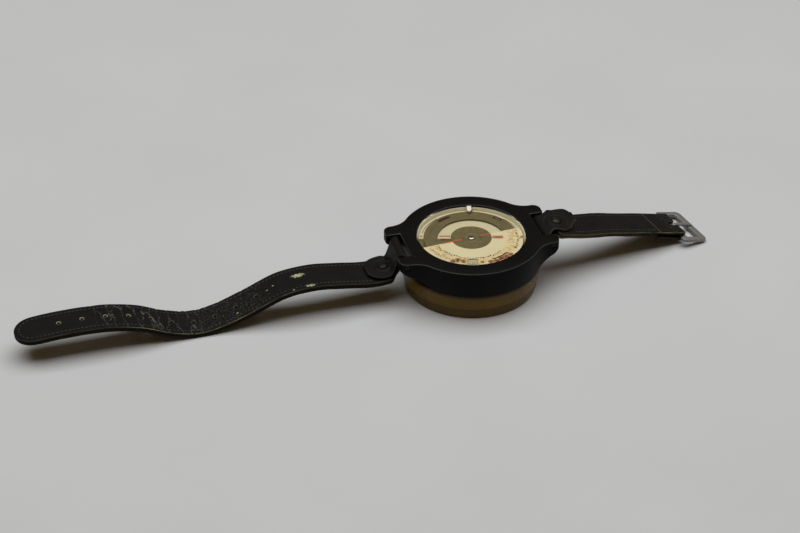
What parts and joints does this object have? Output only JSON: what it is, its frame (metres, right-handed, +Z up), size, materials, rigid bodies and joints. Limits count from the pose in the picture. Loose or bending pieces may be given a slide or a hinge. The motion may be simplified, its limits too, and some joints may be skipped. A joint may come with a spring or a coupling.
{
  "type": "wrist compass",
  "caption": "wrist-worn liquid compass: lugged black case, turning amber capsule with a floating card, leather strap in two parts with a pronged buckle",
  "frame": {"origin": "middle of the capsule's underside, on the surface it stands on", "axes": "X along the strap towards the buckle, Y across it, Z up through the dial"},
  "size_m": [0.3068, 0.061, 0.0252],
  "materials": {
    "case_resin": "satin moulded resin",
    "amber_plastic": "translucent aged plastic",
    "cream_plastic": "matt",
    "window_glass": "polished clear",
    "index_white": "matt",
    "seal_rubber": "matt",
    "dial_enamel": "printed matt",
    "brass": "turned",
    "steel": "drawn wire",
    "magnet_steel": "ground",
    "jewel": "polished",
    "outer_leather": "worn black",
    "lining_leather": "worn black",
    "rivet_metal": "worn black",
    "buckle_metal": "dull grey"
  },
  "bodies": {
    "case": {"case_ring": "case_resin", "retaining_ring": "steel", "long_lug_bar": "steel", "short_lug_bar": "steel"},
    "capsule": {"capsule_bowl": "amber_plastic", "dial_ring": "cream_plastic", "capsule_window": "window_glass", "window_seal": "seal_rubber", "dial_plate": "dial_enamel", "far_index_mark": "index_white", "near_index_mark": "window_glass", "pivot_post": "brass", "pivot_needle": "steel", "filler_screw": "brass", "filler_washer": "seal_rubber"},
    "card": {"compass_card": "dial_enamel", "card_float": "dial_enamel", "pivot_cap": "steel", "jewel_cup": "jewel", "magnet_pair": "magnet_steel"},
    "long_strap": {"long_strap_outer": "outer_leather", "long_strap_lining": "lining_leather", "long_rivet": "rivet_metal", "long_rivet_washer": "steel"},
    "short_strap": {"short_strap_outer": "outer_leather", "short_strap_lining": "lining_leather", "short_rivet": "rivet_metal", "short_rivet_washer": "steel"},
    "buckle": {"buckle_frame": "buckle_metal"},
    "prong": {"buckle_prong": "buckle_metal"}
  },
  "joints": [
    {"name": "capsule_turn", "type": "hinge", "parent": "case", "child": "capsule", "pos_m": [0, 0, 0], "axis": [0, 0, 1], "continuous": true},
    {"name": "card_swing", "type": "hinge", "parent": "capsule", "child": "card", "pos_m": [0, 0, 0.02], "axis": [0, 0, 1], "continuous": true},
    {"name": "long_strap_swing", "type": "hinge", "parent": "case", "child": "long_strap", "pos_m": [-0.0324, 0, 0.0215], "axis": [0, 1, 0], "range_deg": [-30, 140]},
    {"name": "short_strap_swing", "type": "hinge", "parent": "case", "child": "short_strap", "pos_m": [0.0324, 0, 0.0215], "axis": [0, -1, 0], "range_deg": [-55, 95]},
    {"name": "buckle_swing", "type": "hinge", "parent": "short_strap", "child": "buckle", "pos_m": [0.09876, 0.01078, 0.0034], "axis": [0.1736, -0.9848, 0], "range_deg": [-110, 110]},
    {"name": "prong_lift", "type": "hinge", "parent": "buckle", "child": "prong", "pos_m": [0.09876, 0.01078, 0.0034], "axis": [0.1736, -0.9848, 0], "range_deg": [0, 110]}
  ]
}
